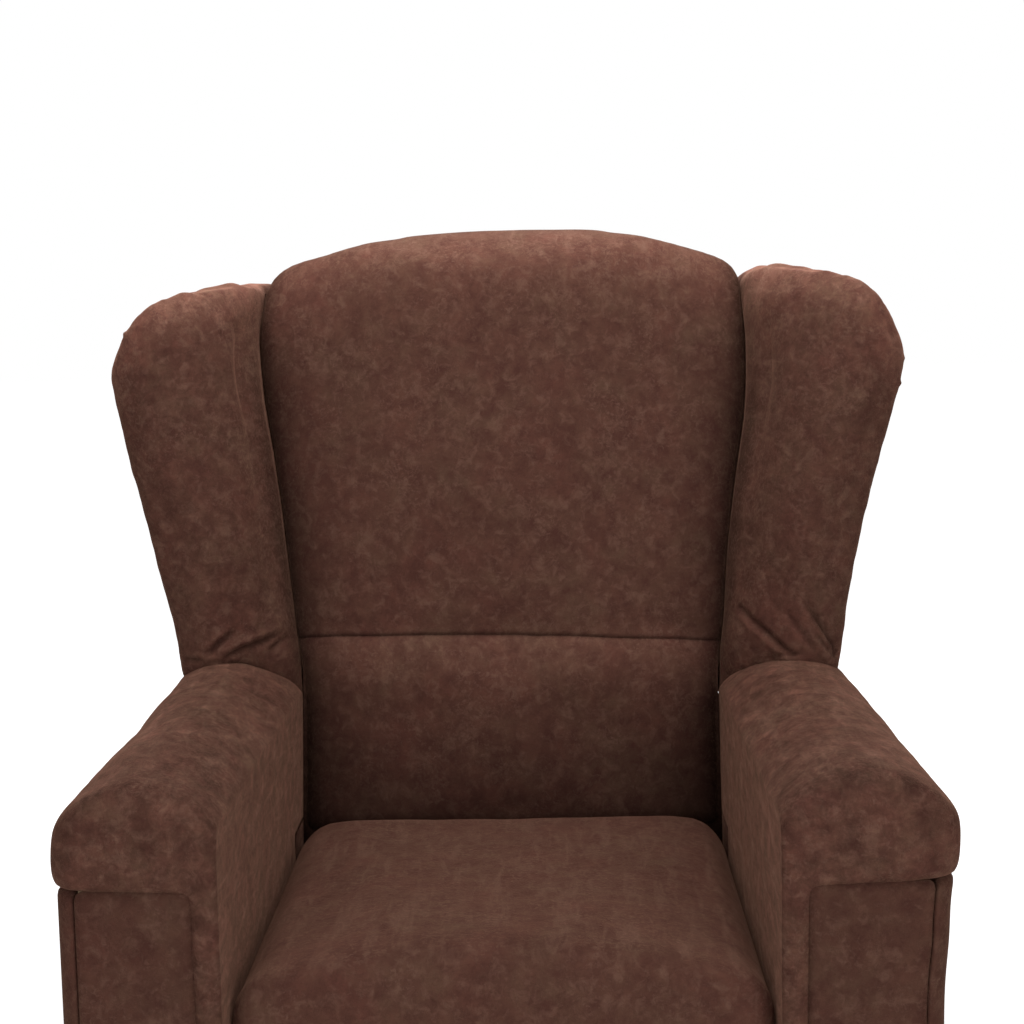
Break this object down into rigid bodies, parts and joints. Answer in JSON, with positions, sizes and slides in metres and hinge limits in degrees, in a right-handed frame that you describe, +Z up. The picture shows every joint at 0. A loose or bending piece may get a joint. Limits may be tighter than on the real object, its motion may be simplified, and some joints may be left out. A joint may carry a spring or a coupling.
{
  "type": "wing-back push-back recliner",
  "caption": "Wing-back push-back recliner armchair: the winged back tips, the seat slides forward and a padded footrest folds out on scissor links.",
  "frame": {"origin": "on the floor, under the middle of the chair with its back up and footrest folded", "axes": "+X to the sitter's left, -Y to the front, +Z up"},
  "size_m": [0.8726, 0.828, 1.109],
  "materials": {
    "faux_suede": "brown mottled microfibre suede with a short nap",
    "frame_wood": "sawn pine and plywood, unfinished",
    "foot_wood": "tapered beech, dark brown stain, satin",
    "glide_plastic": "black nylon",
    "webbing": "woven elastic webbing",
    "zinc_steel": "bright zinc plate",
    "black_steel": "black powder coat"
  },
  "bodies": {
    "base": {"left_arm_pad": "faux_suede", "right_arm_pad": "faux_suede", "left_arm_outer_cover": "faux_suede", "right_arm_outer_cover": "faux_suede", "left_arm_front_cover": "faux_suede", "right_arm_front_cover": "faux_suede", "left_arm_side_panel": "frame_wood", "right_arm_side_panel": "frame_wood", "left_arm_front_board": "frame_wood", "right_arm_front_board": "frame_wood", "left_arm_rear_board": "frame_wood", "right_arm_rear_board": "frame_wood", "left_arm_top_board": "frame_wood", "right_arm_top_board": "frame_wood", "left_base_rail": "black_steel", "right_base_rail": "black_steel", "stretchers": "frame_wood", "rear_panel": "faux_suede", "foot_blocks": "frame_wood", "feet": "foot_wood", "foot_glides": "glide_plastic", "base_rail_bolts": "zinc_steel", "slide_studs": "zinc_steel", "back_pivot_pins": "zinc_steel"},
    "seat": {"left_seat_plate": "black_steel", "right_seat_plate": "black_steel", "seat_side_rails": "frame_wood", "seat_cross_rails": "frame_wood", "seat_frame_screws": "zinc_steel", "seat_springs": "zinc_steel", "spring_clips": "zinc_steel", "seat_cushion": "faux_suede"},
    "backrest": {"left_back_post": "frame_wood", "right_back_post": "frame_wood", "left_wing_pad": "faux_suede", "right_wing_pad": "faux_suede", "left_wing_board": "frame_wood", "right_wing_board": "frame_wood", "left_back_bracket": "black_steel", "right_back_bracket": "black_steel", "back_bottom_rail": "frame_wood", "back_lumbar_rail": "frame_wood", "back_top_rail": "frame_wood", "back_webbing": "webbing", "back_rear_cover": "faux_suede", "upper_back_cushion": "faux_suede", "lumbar_cushion": "faux_suede", "back_bracket_bolts": "zinc_steel"},
    "drive_links": {"left_drive_link": "black_steel", "right_drive_link": "black_steel", "torque_tube": "black_steel"},
    "left_cross_link": {"left_cross_link": "black_steel"},
    "right_cross_link": {"right_cross_link": "black_steel"},
    "left_outer_link": {"left_outer_link": "black_steel"},
    "right_outer_link": {"right_outer_link": "black_steel"},
    "footrest": {"left_footrest_carrier": "black_steel", "right_footrest_carrier": "black_steel", "footrest_board": "frame_wood", "footrest_pad": "faux_suede", "footrest_screws": "zinc_steel"}
  },
  "joints": [
    {"name": "back_recline", "type": "hinge", "parent": "base", "child": "backrest", "pos_m": [0, 0.16646, 0.406], "axis": [-1, 0, 0], "range_deg": [0, 32]},
    {"name": "seat_slide", "type": "slide", "parent": "base", "child": "seat", "axis": [0, -1, 0], "range_m": [0, 0.0608]},
    {"name": "footrest_fold", "type": "hinge", "parent": "seat", "child": "drive_links", "pos_m": [0, -0.279, 0.325], "axis": [-1, 0, 0], "range_deg": [0, 75]},
    {"name": "left_cross_turn", "type": "hinge", "parent": "drive_links", "child": "left_cross_link", "pos_m": [0.242, -0.2905, 0.2156], "axis": [-1, 0, 0], "range_deg": [-150, 0]},
    {"name": "right_cross_turn", "type": "hinge", "parent": "drive_links", "child": "right_cross_link", "pos_m": [-0.242, -0.2905, 0.2156], "axis": [-1, 0, 0], "range_deg": [-150, 0]},
    {"name": "left_outer_turn", "type": "hinge", "parent": "drive_links", "child": "left_outer_link", "pos_m": [0.242, -0.302, 0.1062], "axis": [-1, 0, 0], "range_deg": [-150, 0]},
    {"name": "right_outer_turn", "type": "hinge", "parent": "drive_links", "child": "right_outer_link", "pos_m": [-0.242, -0.302, 0.1062], "axis": [-1, 0, 0], "range_deg": [-150, 0]},
    {"name": "footrest_turn", "type": "hinge", "parent": "left_cross_link", "child": "footrest", "pos_m": [0.242, -0.302, 0.325], "axis": [-1, 0, 0], "range_deg": [0, 150]}
  ],
  "couplings": [
    {"joint": "seat_slide", "follows": "back_recline", "m_per_rad": 0.10858},
    {"joint": "left_cross_turn", "follows": "footrest_fold", "ratio": -2},
    {"joint": "right_cross_turn", "follows": "footrest_fold", "ratio": -2},
    {"joint": "left_outer_turn", "follows": "footrest_fold", "ratio": -2},
    {"joint": "right_outer_turn", "follows": "footrest_fold", "ratio": -2},
    {"joint": "footrest_turn", "follows": "footrest_fold", "ratio": 2}
  ]
}
